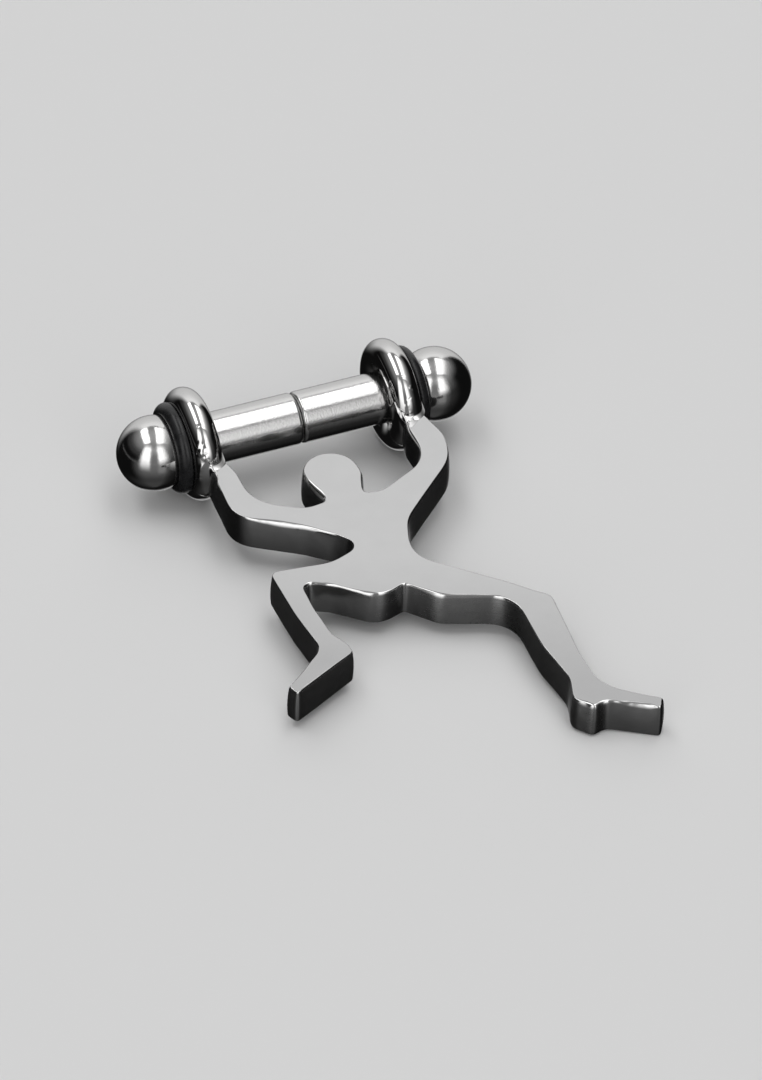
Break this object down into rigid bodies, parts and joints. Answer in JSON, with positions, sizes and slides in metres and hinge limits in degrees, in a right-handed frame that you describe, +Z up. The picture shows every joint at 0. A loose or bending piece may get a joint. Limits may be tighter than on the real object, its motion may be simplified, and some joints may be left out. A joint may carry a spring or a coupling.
{
  "type": "nipple pincher",
  "caption": "Bar of magnet barrels with end balls and rubber rings, carrying a flat steel climbing figure by welded wire rings.",
  "frame": {"origin": "bottom centre of the bounding box, on the surface that the part lies on, straight below the long axis through the seam of the bar in X", "axes": "+X along the bar from the left ball to the right ball, +Y from the figure's feet to the bar, +Z up from the surface"},
  "size_m": [0.0494, 0.0772, 0.0152],
  "materials": {
    "figure_steel": "stainless steel plate with a mirror-polished face and satin side walls, polished wire rings",
    "barrel_steel": "satin",
    "ball_steel": "mirror polished",
    "o_ring_rubber": "smooth black, slightly glossy"
  },
  "bodies": {
    "figure": {"climbing_figure": "figure_steel"},
    "left_rubber": {"left_o_ring": "o_ring_rubber"},
    "left_pin": {"left_barrel": "barrel_steel", "left_ball": "ball_steel"},
    "right_rubber": {"right_o_ring": "o_ring_rubber"},
    "right_pin": {"right_barrel": "barrel_steel", "right_ball": "ball_steel"}
  },
  "joints": [
    {"name": "left_pull", "type": "slide", "parent": "figure", "child": "left_rubber", "axis": [-1, 0, 0], "range_m": [0, 0.012]},
    {"name": "left_turn", "type": "hinge", "parent": "left_rubber", "child": "left_pin", "pos_m": [-0.01, 0.031, 0.00758], "axis": [-1, 0, 0], "continuous": true},
    {"name": "right_pull", "type": "slide", "parent": "figure", "child": "right_rubber", "axis": [1, 0, 0], "range_m": [0, 0.012]},
    {"name": "right_turn", "type": "hinge", "parent": "right_rubber", "child": "right_pin", "pos_m": [0.01, 0.031, 0.00758], "axis": [1, 0, 0], "continuous": true}
  ]
}
